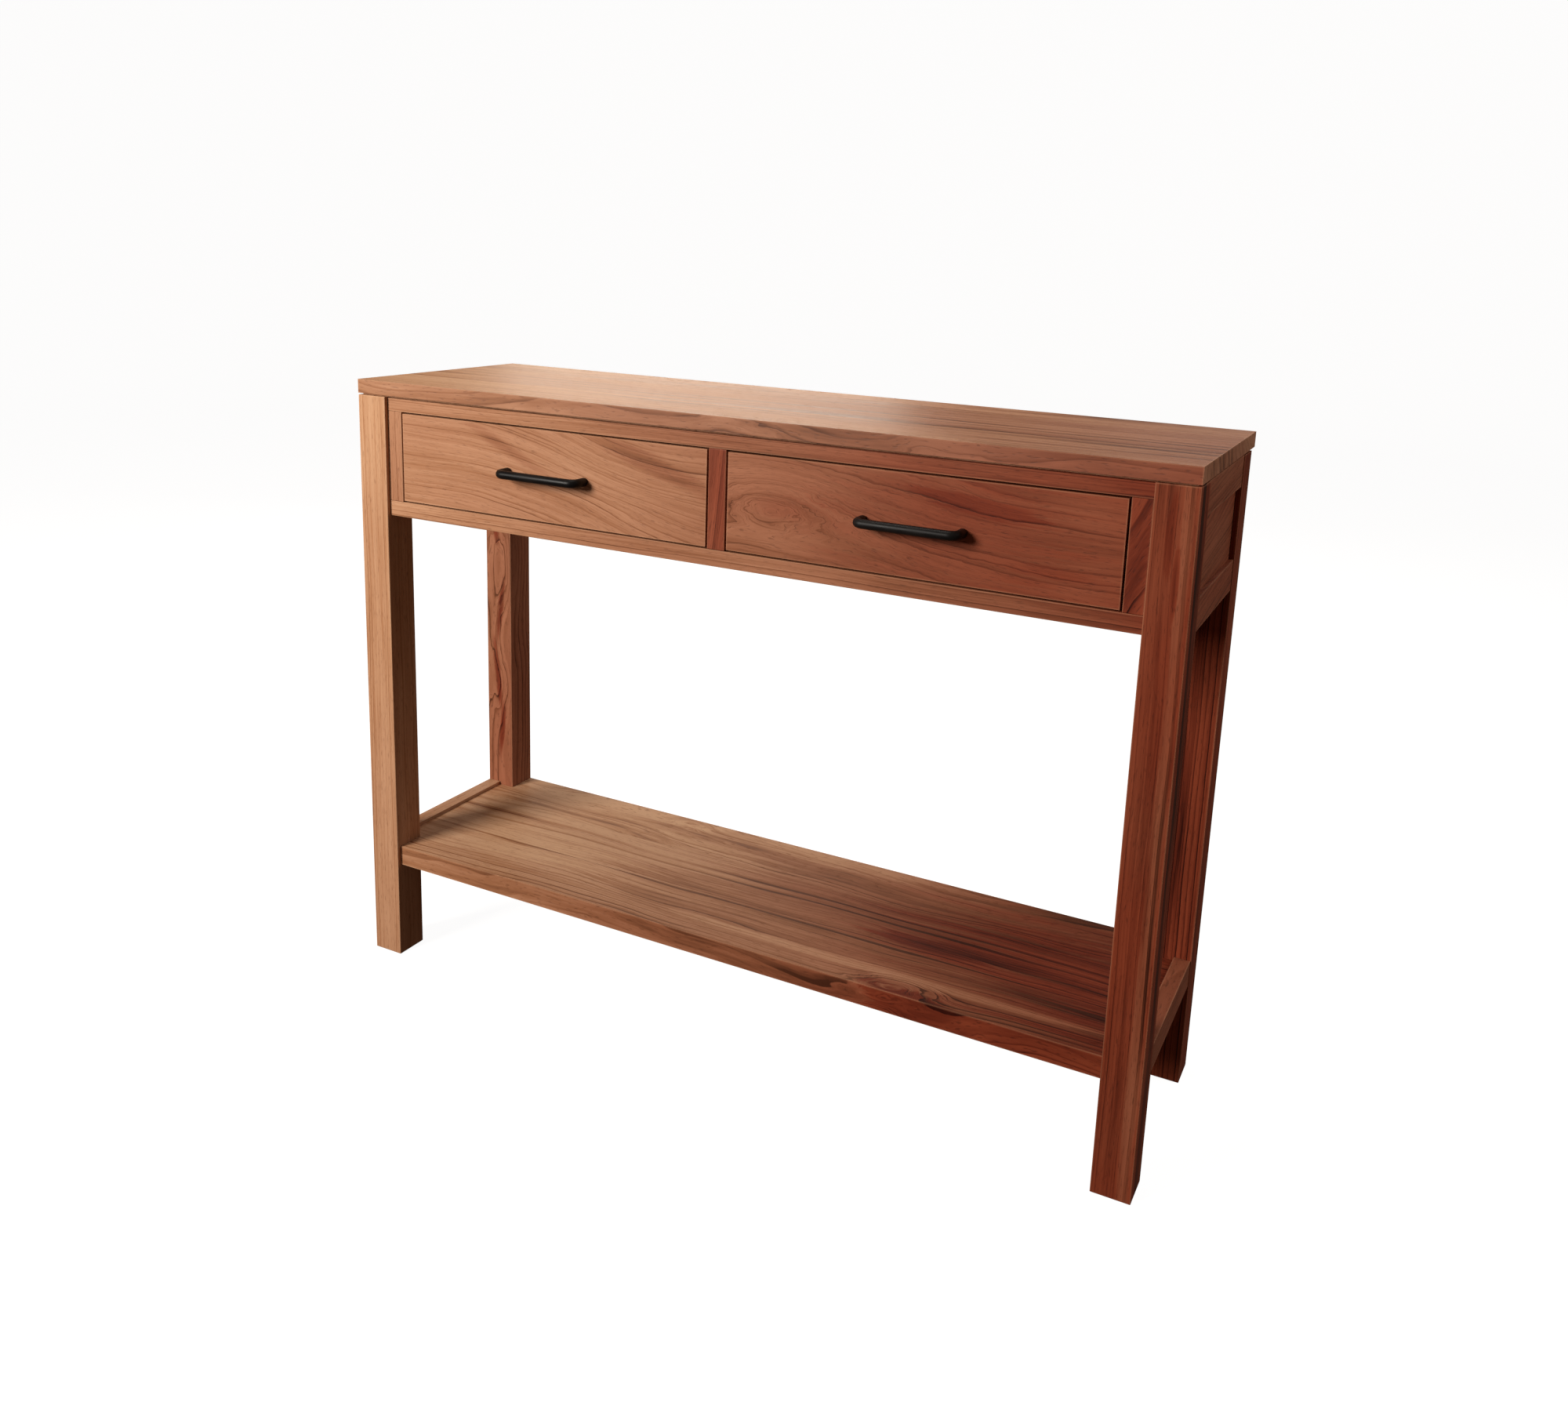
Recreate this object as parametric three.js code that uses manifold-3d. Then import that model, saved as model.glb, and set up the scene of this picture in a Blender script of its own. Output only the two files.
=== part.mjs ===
// Console table of solid teak: a board top on four square legs, an apron frame with two inset
// drawers on wooden runners, panelled ends and a low shelf notched round the legs.
// Millimetres, +Z up, the front towards -Y, the origin on the floor below the middle of the whole.

import * as THREE from 'three';
import { mergeVertices } from 'three/addons/utils/BufferGeometryUtils.js';
import Module from 'manifold-3d';

const wasm = await Module();
wasm.setup();

// ---------------------------------------------------------------- driving dimensions

const WIDTH = 1200; // top, left to right
const DEPTH = 350; // top, front to back
const HEIGHT = 900; // floor to the face of the top
const TOP = 22; // thickness of the top
const BACK_OVERHANG = 22; // the top reaches this far behind the back legs
const LEG = 50; // side of a square leg
const SHADOW = [5, 2]; // depth and height of the rebates that leave a dark line below the top

const APRON = 174; // height of the apron, below the top
const RECESS = 6; // the front apron stands this far behind the faces of the legs
const TOP_RAIL = 20; // height of the rail above the drawers
const BOTTOM_RAIL = 22; // height of the rail below the drawers
const RAIL_DEPTH = 22; // front to back, top rail and stiles
const DRAWER_RAIL_DEPTH = 40; // front to back, bottom rail
const STILE = 25; // width of the two outer stiles
const DIVIDER = 26; // width of the stile between the drawers
const BACK_BOARD = 20; // thickness of the back apron
const BACK_RECESS = 5; // the back apron stands this far inside the back faces of the legs

const END_RECESS = 1; // end rails stand this far inside the outer faces of the legs
const END_THICK = 22; // thickness of the end rails
const END_TOP_RAIL = 40; // height of the upper end rail
const END_BOTTOM_RAIL = 40; // height of the lower end rail
const PANEL = 10; // thickness of the end panel
const PANEL_INTO = 7.5; // how far the panel's edge goes into its groove

const SHELF_TOP = 180; // floor to the face of the shelf
const SHELF = 30; // thickness of the shelf
const SHELF_FRONT = 7; // the shelf's front edge stands this far behind the legs' faces
const SHELF_BACK = 1; // and its back edge this far inside the legs' back faces
const SHELF_RAIL_ABOVE = 5; // the shelf rail stands this far above the shelf
const SHELF_RAIL_BELOW = 2; // and this far below it
const TONGUE = 6; // thickness of the shelf's end tongue
const TONGUE_OUT = 7.5; // how far the tongue goes into the rail

const TENON = 25; // length of a rail's tenon
const TENON_THICK = 10;
const TENON_BEHIND = 6; // a front rail's tenon stands this far behind its face
const FRONT_SHOULDER = 3; // shoulders above and below the tenons of the front rails
const BACK_SHOULDER = 20; // of the back apron
const END_SHOULDER = 8; // of the end rails and the shelf rails
const TONGUE_SHORT = 1; // gap between the shelf's tongue and the legs
const STILE_TENON = { wide: 14, behind: 4, thick: 8, length: 8 };
const STUB = { wide: 24, length: 6, shoulder: 5 }; // stub tenons on runners and kickers
const ROOT = 5; // every tenon starts this far inside its own board
const GAP = 0.3; // glue line or clearance wherever two faces meet
const PAST = 1; // a cut runs this far past the face that it opens

const RUNNER = 20; // thickness of a drawer runner
const RUNNER_WIDE = 46;
const CENTRE_WIDE = 70; // the middle runner and kicker serve both drawers
const LANE_GAP = 1; // the outer ones stop this far from the legs
const GUIDE = 15; // height of a guide, on its runner
const GUIDE_PLAY = 1; // sideways clearance between a guide and a drawer
const STOP = [40, 15, 6]; // a drawer stop's width, depth and height
const STOP_OUT = 150; // each stop's distance from the drawer's middle

const FRONT_GAP = 2.5; // gap all round an inset drawer front
const FRONT_THICK = 20;
const SIDE_THICK = 12; // drawer sides and back
const SIDE_LOW = 1; // the drawer sides ride this far above the runners
const SIDE_HIGH = 9; // and stop this far below the kickers
const DRAWER_BACK_AT = 84; // front face of the drawer's back board
const DRAWER_BACK_SHORT = 6; // the back board is this much lower than the sides
const DRAWER_TAIL = 4; // the sides run on this far behind the back board
const BOTTOM = 6; // thickness of the drawer bottom
const BOTTOM_UP = 10; // the bottom's height above the sides' lower edge
const BOTTOM_INTO = 6.5; // how far the bottom goes into its grooves
const HOUSING = 5; // how far the back board goes into the sides
const TAILS = 3; // dovetails on each side's front end
const TAIL_LONG = 13;
const TAIL_ROOT = 22; // a tail's height at the shoulder
const TAIL_TIP = 26; // and at its end

const HOLES = 128; // distance between the two screws of a handle
const BAR_RADIUS = 6;
const BAR_OUT = 24; // bar's centre line, out from the drawer front
const BAR_BEND = 9; // radius of the bends, on the centre line
const BAR_SIDES = 12; // sides of the round bar
const BAR_STEPS = 48;
const HANDLE_HOLE = 10; // depth of the threaded hole in each foot

const ROUND = 16; // sides of a round screw
const TOP_SCREW = { head: 4.5, shank: 2.2, length: 34, slot: 6 };
const BOTTOM_SCREW = { head: 3, shank: 1.5, length: 16, slot: 4 };
const HANDLE_SCREW = { head: 4, thick: 2.6, rim: 0.8, shank: 2, length: 27, slot: 5, play: 0.5 };
const SLOT = 1; // width and depth of a screw's slot
const TOP_SCREW_Y = [-90, 70];

// ---------------------------------------------------------------- places

const TOP_UNDER = HEIGHT - TOP;
const FRONT = -DEPTH / 2;
const BACK = DEPTH / 2 - BACK_OVERHANG;
const LEG_X = WIDTH / 2 - LEG; // inner faces of the legs
const LEG_FRONT = FRONT + LEG; // back faces of the front legs
const LEG_BACK = BACK - LEG; // front faces of the back legs
const APRON_LOW = TOP_UNDER - APRON;
const APRON_FACE = FRONT + RECESS;
const OPEN_HIGH = TOP_UNDER - TOP_RAIL; // drawer openings, top and bottom
const OPEN_LOW = APRON_LOW + BOTTOM_RAIL;
const OPEN_OUT = LEG_X - STILE; // drawer openings, outer and inner edges
const OPEN_IN = DIVIDER / 2;
const DRAWER_X = (OPEN_OUT + OPEN_IN) / 2;
const DRAWER_HALF = (OPEN_OUT - OPEN_IN) / 2 - FRONT_GAP;
const GUIDE_OUT = DRAWER_X + DRAWER_HALF + GUIDE_PLAY; // guide faces beside the drawers
const GUIDE_IN = DRAWER_X - DRAWER_HALF - GUIDE_PLAY;
const DRAWER_RAIL_BACK = APRON_FACE + DRAWER_RAIL_DEPTH;
const BOARD_BACK = BACK - BACK_RECESS;
const BOARD_FRONT = BOARD_BACK - BACK_BOARD;
const END_OUT = WIDTH / 2 - END_RECESS;
const END_IN = END_OUT - END_THICK;
const END_MIDDLE = (END_OUT + END_IN) / 2;
const SHELF_LOW = SHELF_TOP - SHELF;
const FRONT_BACK = APRON_FACE + FRONT_THICK; // inner face of a drawer front
const SIDES_LOW = OPEN_LOW + SIDE_LOW;
const SIDES_HIGH = OPEN_HIGH - SIDE_HIGH;
const BOTTOM_LOW = SIDES_LOW + BOTTOM_UP;
const BOTTOM_HIGH = BOTTOM_LOW + BOTTOM;
const HANDLE_Z = (OPEN_LOW + OPEN_HIGH) / 2;

// The handles stand out in front of the top, so the middle of the whole lies in front of it.
const CENTRE_Y = (APRON_FACE - BAR_OUT - BAR_RADIUS + DEPTH / 2) / 2;

const SIDES = { left: -1, right: 1 };

// ---------------------------------------------------------------- looks

const finish = (color, roughness = 0.45, metalness = 0) => ({ color, roughness, metalness });
const TEAK_LIGHT = finish(0xa87350);
const TEAK = finish(0x96593a);
const TEAK_RED = finish(0x7d4229);
const TEAK_DARK = finish(0x5c2f20);
const SECONDARY = finish(0xb08a64, 0.6);
const THIN_BOARD = finish(0xb8946c, 0.65);
const BLACK_METAL = finish(0x161413, 0.4, 0.6);
const ZINC = finish(0xb9b7b0, 0.35, 1);

// ---------------------------------------------------------------- solids

const MERGE = 1e-4; // corners closer than this are one corner

// A box as its three [low, high] spans, whichever way round each span was given.
const span = (...pairs) => pairs.map((pair) => pair.toSorted((a, b) => a - b));

const grown = (box) => box.map(([low, high]) => [low - GAP, high + GAP]);

// Turns a closed three.js geometry into a solid that can be joined and cut.
function solid(geometry) {
  const bare = geometry.clone();
  bare.deleteAttribute('normal');
  bare.deleteAttribute('uv');
  const merged = mergeVertices(bare, MERGE);
  const vertProperties = merged.attributes.position.array;
  const triVerts = new Uint32Array(merged.index.array);
  return new wasm.Manifold(new wasm.Mesh({ numProp: 3, vertProperties, triVerts }));
}

function block(box) {
  const size = box.map(([low, high]) => high - low);
  const middle = box.map(([low, high]) => (low + high) / 2);
  return solid(new THREE.BoxGeometry(...size).translate(...middle));
}

// A board is a box with tenons added and with boxes or solids cut out of it.
function board(box, tenons = [], cuts = []) {
  let made = block(box);
  for (const tenon of tenons) {
    made = made.add(block(tenon));
  }
  for (const cut of cuts) {
    made = made.subtract(Array.isArray(cut) ? block(cut) : cut);
  }
  return made;
}

function node(name, made, look) {
  const { vertProperties, triVerts } = made.getMesh();
  const geometry = new THREE.BufferGeometry();
  geometry.setAttribute('position', new THREE.BufferAttribute(vertProperties, 3));
  geometry.setIndex(new THREE.BufferAttribute(triVerts, 1));
  geometry.computeVertexNormals();
  const mesh = new THREE.Mesh(geometry, new THREE.MeshStandardMaterial(look));
  mesh.name = name;
  return mesh;
}

// A turned solid about Z from [radius, height] points that start and end on the axis.
function turned(points) {
  const profile = points.map(([radius, height]) => new THREE.Vector2(radius, height));
  return solid(new THREE.LatheGeometry(profile, ROUND).rotateX(Math.PI / 2));
}

// ---------------------------------------------------------------- joints of the carcass

const frontAcross = [APRON_FACE + TENON_BEHIND, APRON_FACE + TENON_BEHIND + TENON_THICK];
const backMiddle = (BOARD_FRONT + BOARD_BACK) / 2;
const backAcross = [backMiddle - TENON_THICK / 2, backMiddle + TENON_THICK / 2];
const endAcross = (s) => [s * (END_MIDDLE - TENON_THICK / 2), s * (END_MIDDLE + TENON_THICK / 2)];

// Tenons of the boards that run left to right, into the legs on side s.
const frontTopTenon = (s) => legTenon(s, frontAcross, [OPEN_HIGH, TOP_UNDER], FRONT_SHOULDER);
const frontLowTenon = (s) => legTenon(s, frontAcross, [APRON_LOW, OPEN_LOW], FRONT_SHOULDER);
const backTenon = (s) => legTenon(s, backAcross, [APRON_LOW, TOP_UNDER], BACK_SHOULDER);

function legTenon(s, y, [low, high], shoulder) {
  return span([s * (LEG_X - ROOT), s * (LEG_X + TENON)], y, [low + shoulder, high - shoulder]);
}

// One long tenon through a board that runs front to back, into both legs of side s.
function endTenon(s, [low, high]) {
  const y = [LEG_FRONT - TENON, LEG_BACK + TENON];
  return span(endAcross(s), y, [low + END_SHOULDER, high - END_SHOULDER]);
}

const END_TOP_LOW = TOP_UNDER - END_TOP_RAIL;
const END_LOW_HIGH = APRON_LOW + END_BOTTOM_RAIL;
const SHELF_RAIL_Z = [SHELF_LOW - SHELF_RAIL_BELOW, SHELF_TOP + SHELF_RAIL_ABOVE];
const endTopTenon = (s) => endTenon(s, [END_TOP_LOW, TOP_UNDER]);
const endLowTenon = (s) => endTenon(s, [APRON_LOW, END_LOW_HIGH]);
const shelfRailTenon = (s) => endTenon(s, SHELF_RAIL_Z);

const panelBox = (s) =>
  span(
    [s * (END_MIDDLE - PANEL / 2), s * (END_MIDDLE + PANEL / 2)],
    [LEG_FRONT - PANEL_INTO, LEG_BACK + PANEL_INTO],
    [END_LOW_HIGH - PANEL_INTO, END_TOP_LOW + PANEL_INTO],
  );

const tongueBox = (s) => {
  const middle = (SHELF_TOP + SHELF_LOW) / 2;
  return span(
    [s * (END_IN - ROOT), s * (END_IN + TONGUE_OUT)],
    [LEG_FRONT + TONGUE_SHORT, LEG_BACK - TONGUE_SHORT],
    [middle - TONGUE / 2, middle + TONGUE / 2],
  );
};

// Short tenons at both ends of the stiles; x is the middle of a stile.
function stileTenon(x) {
  const { wide, behind, thick, length } = STILE_TENON;
  const y = [APRON_FACE + behind, APRON_FACE + behind + thick];
  return span([x - wide / 2, x + wide / 2], y, [OPEN_LOW - length, OPEN_HIGH + length]);
}

const STILES = { front_stile_left: -1, front_divider: 0, front_stile_right: 1 };
const stileMiddle = (s) => s * (OPEN_OUT + STILE / 2);

// Runners and kickers: the left one, the middle one and the right one.
const LANES = { left: -1, centre: 0, right: 1 };
const LANE_OUT = LEG_X - LANE_GAP;
const laneAcross = (s) =>
  s ? [s * (LANE_OUT - RUNNER_WIDE), s * LANE_OUT] : [-CENTRE_WIDE / 2, CENTRE_WIDE / 2];
const laneMiddle = (s) => s * (LANE_OUT - RUNNER_WIDE / 2);

function laneStub(s, front, [low, high]) {
  const x = laneMiddle(s);
  const { wide, length, shoulder } = STUB;
  const y = [front - length, BOARD_FRONT + length];
  return span([x - wide / 2, x + wide / 2], y, [low + shoulder, high - shoulder]);
}

const runnerStub = (s) => laneStub(s, DRAWER_RAIL_BACK, [OPEN_LOW - RUNNER, OPEN_LOW]);
const kickerStub = (s) => laneStub(s, APRON_FACE + RAIL_DEPTH, [OPEN_HIGH, TOP_UNDER]);

// ---------------------------------------------------------------- screws

// A countersunk wood screw along +Z with its head's face at the origin. clear widens it to a hole.
function woodScrew({ head, shank, length }, clear = 0) {
  const cone = head - shank;
  return turned([
    [0, -clear],
    [head + clear, -clear],
    [head + clear, clear],
    [shank + clear, cone + clear],
    [shank + clear, length - 2 * shank + clear],
    [0, length + clear],
  ]);
}

function slotted(screw, { slot }) {
  return screw.subtract(block(span([-slot / 2, slot / 2], [-SLOT / 2, SLOT / 2], [-SLOT, SLOT])));
}

function topScrewPlaces() {
  return Object.values(LANES).flatMap((s) => TOP_SCREW_Y.map((y) => [laneMiddle(s), y]));
}

function topScrewHoles() {
  return topScrewPlaces().map(([x, y]) => woodScrew(TOP_SCREW, GAP).translate([x, y, OPEN_HIGH]));
}

// ---------------------------------------------------------------- carcass

function makeTop() {
  const x = [-WIDTH / 2, WIDTH / 2];
  const y = [FRONT, DEPTH / 2];
  const [deep, high] = SHADOW;
  const line = [TOP_UNDER - PAST, TOP_UNDER + high];
  const rebates = Object.values(SIDES).map((s) =>
    span([s * (WIDTH / 2 - deep), s * WIDTH], [-DEPTH, DEPTH], line),
  );
  rebates.push(span([-WIDTH, WIDTH], [-DEPTH, FRONT + deep], line));
  const made = board(span(x, y, [TOP_UNDER, HEIGHT]), [], [...rebates, ...topScrewHoles()]);
  return [node('top_panel', made, TEAK_LIGHT)];
}

function makeLegs() {
  return Object.entries(SIDES).flatMap(([side, s]) => {
    const joints = [frontTopTenon, frontLowTenon, backTenon, endTopTenon, endLowTenon];
    joints.push(shelfRailTenon, panelBox);
    const cuts = joints.map((joint) => grown(joint(s)));
    const x = [s * LEG_X, (s * WIDTH) / 2];
    const z = [0, TOP_UNDER - GAP];
    const look = s < 0 ? TEAK_LIGHT : TEAK_RED;
    return [
      node(`leg_front_${side}`, board(span(x, [FRONT, LEG_FRONT], z), [], cuts), look),
      node(`leg_back_${side}`, board(span(x, [LEG_BACK, BACK], z), [], cuts), TEAK_RED),
    ];
  });
}

function makeFront() {
  const long = [-LEG_X + GAP, LEG_X - GAP];
  const lanes = Object.values(LANES);
  const stileCuts = lanes.map((s) => grown(stileTenon(stileMiddle(s))));
  const [deep, high] = SHADOW;
  const rebate = span([-LEG_X, LEG_X], [FRONT, APRON_FACE + deep], [TOP_UNDER - high, HEIGHT]);
  const topRail = board(
    span(long, [APRON_FACE, APRON_FACE + RAIL_DEPTH], [OPEN_HIGH, TOP_UNDER - GAP]),
    Object.values(SIDES).map(frontTopTenon),
    [rebate, ...stileCuts, ...lanes.map((s) => grown(kickerStub(s)))],
  );
  const lowRail = board(
    span(long, [APRON_FACE, DRAWER_RAIL_BACK], [APRON_LOW, OPEN_LOW]),
    Object.values(SIDES).map(frontLowTenon),
    [...stileCuts, ...lanes.map((s) => grown(runnerStub(s)))],
  );
  const stiles = Object.entries(STILES).map(([name, s]) => {
    const x = s ? [s * OPEN_OUT, s * (LEG_X - GAP)] : [-DIVIDER / 2, DIVIDER / 2];
    const box = span(x, [APRON_FACE, APRON_FACE + RAIL_DEPTH], [OPEN_LOW + GAP, OPEN_HIGH - GAP]);
    return node(name, board(box, [stileTenon(stileMiddle(s))]), s ? TEAK : TEAK_DARK);
  });
  return [node('front_top_rail', topRail, TEAK), node('front_bottom_rail', lowRail, TEAK), ...stiles];
}

function makeBack() {
  const lanes = Object.values(LANES);
  const made = board(
    span([-LEG_X + GAP, LEG_X - GAP], [BOARD_FRONT, BOARD_BACK], [APRON_LOW, TOP_UNDER - GAP]),
    Object.values(SIDES).map(backTenon),
    [...lanes.map((s) => grown(runnerStub(s))), ...lanes.map((s) => grown(kickerStub(s)))],
  );
  return [node('back_apron', made, TEAK)];
}

function makeEnds() {
  return Object.entries(SIDES).flatMap(([side, s]) => {
    const x = [s * END_IN, s * END_OUT];
    const y = [LEG_FRONT + GAP, LEG_BACK - GAP];
    const groove = grown(panelBox(s));
    const top = board(span(x, y, [END_TOP_LOW, TOP_UNDER - GAP]), [endTopTenon(s)], [groove]);
    const low = board(span(x, y, [APRON_LOW, END_LOW_HIGH]), [endLowTenon(s)], [groove]);
    return [
      node(`end_top_rail_${side}`, top, TEAK_RED),
      node(`end_bottom_rail_${side}`, low, TEAK_RED),
      node(`end_panel_${side}`, block(panelBox(s)), TEAK_DARK),
    ];
  });
}

function makeShelf() {
  const sides = Object.values(SIDES);
  const rails = Object.entries(SIDES).map(([side, s]) => {
    const box = span([s * END_IN, s * END_OUT], [LEG_FRONT + GAP, LEG_BACK - GAP], SHELF_RAIL_Z);
    const made = board(box, [shelfRailTenon(s)], [grown(tongueBox(s))]);
    return node(`shelf_rail_${side}`, made, TEAK_RED);
  });
  const box = span(
    [-END_IN + GAP, END_IN - GAP],
    [FRONT + SHELF_FRONT, BACK - SHELF_BACK],
    [SHELF_LOW, SHELF_TOP],
  );
  const notches = sides.flatMap((s) => {
    const x = [s * LEG_X, (s * WIDTH) / 2];
    const z = [0, HEIGHT];
    return [grown(span(x, [FRONT, LEG_FRONT], z)), grown(span(x, [LEG_BACK, BACK], z))];
  });
  return [node('shelf_panel', board(box, sides.map(tongueBox), notches), TEAK_LIGHT), ...rails];
}

// Inside the apron: runners under the drawer sides, guides beside them, kickers above them.
function makeLanes() {
  return Object.entries(LANES).flatMap(([lane, s]) => {
    const x = laneAcross(s);
    const back = BOARD_FRONT - GAP;
    const runnerY = [DRAWER_RAIL_BACK + GAP, back];
    const runner = board(span(x, runnerY, [OPEN_LOW - RUNNER, OPEN_LOW]), [runnerStub(s)]);
    const guideX = s ? [s * GUIDE_OUT, s * LANE_OUT] : [-GUIDE_IN, GUIDE_IN];
    const guideZ = [OPEN_LOW + GAP, OPEN_LOW + GUIDE];
    const kickerY = [APRON_FACE + RAIL_DEPTH + GAP, back];
    const kicker = board(
      span(x, kickerY, [OPEN_HIGH, TOP_UNDER - GAP]),
      [kickerStub(s)],
      topScrewHoles(),
    );
    return [
      node(`runner_${lane}`, runner, SECONDARY),
      node(`guide_${lane}`, block(span(guideX, runnerY, guideZ)), SECONDARY),
      node(`kicker_${lane}`, kicker, SECONDARY),
    ];
  });
}

function makeStops() {
  return Object.entries(SIDES).flatMap(([side, s]) =>
    Object.entries({ a: -1, b: 1 }).map(([mark, t]) => {
      const x = s * DRAWER_X + t * STOP_OUT;
      const y = FRONT_BACK + GAP;
      const [width, deep, high] = STOP;
      const box = span([x - width / 2, x + width / 2], [y, y + deep], [OPEN_LOW + GAP, OPEN_LOW + high]);
      return node(`drawer_stop_${side}_${mark}`, block(box), SECONDARY);
    }),
  );
}

function makeTopScrews() {
  return topScrewPlaces().map(([x, y], index) => {
    const mesh = node(`top_screw_${index + 1}`, slotted(woodScrew(TOP_SCREW), TOP_SCREW), ZINC);
    mesh.position.set(x, y, OPEN_HIGH);
    return mesh;
  });
}

// ---------------------------------------------------------------- drawers, about their own middle

// One dovetail: an outline in front-to-back and height, as thick as the side. clear widens it.
function dovetail(x, z, clear = 0) {
  const outline = new THREE.Shape();
  const tip = FRONT_BACK - TAIL_LONG - clear;
  const root = FRONT_BACK + ROOT;
  const atTip = TAIL_TIP / 2 + clear;
  const atRoot = TAIL_ROOT / 2 + clear;
  outline.moveTo(root, z - atRoot);
  outline.lineTo(FRONT_BACK, z - atRoot);
  outline.lineTo(tip, z - atTip);
  outline.lineTo(tip, z + atTip);
  outline.lineTo(FRONT_BACK, z + atRoot);
  outline.lineTo(root, z + atRoot);
  outline.closePath();
  const depth = x[1] - x[0];
  const geometry = new THREE.ExtrudeGeometry(outline, { depth, bevelEnabled: false });
  // The outline's axes become Y and Z, and the extrusion runs along X.
  const turn = new THREE.Matrix4().makeBasis(
    new THREE.Vector3(0, 1, 0),
    new THREE.Vector3(0, 0, 1),
    new THREE.Vector3(1, 0, 0),
  );
  return solid(geometry.applyMatrix4(turn).translate(x[0], 0, 0));
}

function tailHeights() {
  const step = (SIDES_HIGH - SIDES_LOW) / TAILS;
  return Array.from({ length: TAILS }, (_, index) => SIDES_LOW + (index + 0.5) * step);
}

const bottomBox = () => {
  const half = DRAWER_HALF - SIDE_THICK + BOTTOM_INTO;
  const back = DRAWER_BACK_AT + SIDE_THICK;
  return span([-half, half], [FRONT_BACK - BOTTOM_INTO, back], [BOTTOM_LOW, BOTTOM_HIGH]);
};

const drawerBackBox = () => {
  const half = DRAWER_HALF - SIDE_THICK + HOUSING;
  const y = [DRAWER_BACK_AT, DRAWER_BACK_AT + SIDE_THICK];
  return span([-half, half], y, [BOTTOM_HIGH + GAP, SIDES_HIGH - DRAWER_BACK_SHORT]);
};

function makeDrawerFront() {
  const box = span(
    [-DRAWER_HALF, DRAWER_HALF],
    [APRON_FACE, FRONT_BACK],
    [OPEN_LOW + FRONT_GAP, OPEN_HIGH - FRONT_GAP],
  );
  const cuts = [grown(bottomBox())];
  const { shank, play } = HANDLE_SCREW;
  for (const s of Object.values(SIDES)) {
    const [low, high] = span([s * (DRAWER_HALF - SIDE_THICK), s * DRAWER_HALF])[0];
    const socket = [low - GAP, high + GAP];
    cuts.push(...tailHeights().map((z) => dovetail(socket, z, GAP)));
    const hole = new THREE.CylinderGeometry(shank + play, shank + play, 3 * FRONT_THICK, ROUND);
    cuts.push(solid(hole.translate((s * HOLES) / 2, APRON_FACE, HANDLE_Z)));
  }
  return board(box, [], cuts);
}

function makeDrawerSide(s) {
  const x = span([s * (DRAWER_HALF - SIDE_THICK), s * DRAWER_HALF])[0];
  const y = [FRONT_BACK + GAP, DRAWER_BACK_AT + SIDE_THICK + DRAWER_TAIL];
  let made = board(span(x, y, [SIDES_LOW, SIDES_HIGH]));
  for (const z of tailHeights()) {
    made = made.add(dovetail(x, z));
  }
  const groove = grown(bottomBox());
  groove[1][1] = y[1] + PAST; // the groove runs out at the back, where the bottom slides in
  const housing = grown(drawerBackBox());
  housing[2][1] = HEIGHT; // the housing is open at the top
  return made.subtract(block(groove)).subtract(block(housing));
}

function handlePath() {
  const half = HOLES / 2;
  const corner = (s) => [
    new THREE.Vector3(s * half, BAR_BEND - BAR_OUT, 0),
    new THREE.Vector3(s * half, -BAR_OUT, 0),
    new THREE.Vector3(s * (half - BAR_BEND), -BAR_OUT, 0),
  ];
  const [leftFoot, leftCorner, leftBar] = corner(-1);
  const [rightFoot, rightCorner, rightBar] = corner(1);
  const path = new THREE.CurvePath();
  path.add(new THREE.LineCurve3(new THREE.Vector3(-half, -GAP, 0), leftFoot));
  path.add(new THREE.QuadraticBezierCurve3(leftFoot, leftCorner, leftBar));
  path.add(new THREE.LineCurve3(leftBar, rightBar));
  path.add(new THREE.QuadraticBezierCurve3(rightBar, rightCorner, rightFoot));
  path.add(new THREE.LineCurve3(rightFoot, new THREE.Vector3(half, -GAP, 0)));
  return path;
}

function makeHandle() {
  const section = new THREE.Shape();
  section.absarc(0, 0, BAR_RADIUS, 0, 2 * Math.PI);
  const options = { steps: BAR_STEPS, curveSegments: BAR_SIDES / 2, extrudePath: handlePath() };
  let made = solid(new THREE.ExtrudeGeometry(section, options));
  for (const s of Object.values(SIDES)) {
    const radius = HANDLE_SCREW.shank + GAP;
    const hole = new THREE.CylinderGeometry(radius, radius, 2 * HANDLE_HOLE, BAR_SIDES);
    made = made.subtract(solid(hole.translate((s * HOLES) / 2, 0, 0)));
  }
  return made;
}

// A pan-head machine screw along +Z, with the underside of its head at the origin.
function handleScrew() {
  const { head, thick, rim, shank, length } = HANDLE_SCREW;
  const screw = turned([
    [0, -thick],
    [head - rim, -thick],
    [head, -thick + rim],
    [head, 0],
    [shank, 0],
    [shank, length],
    [0, length],
  ]);
  return slotted(screw.translate([0, 0, thick]), HANDLE_SCREW).translate([0, 0, -thick]);
}

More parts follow.
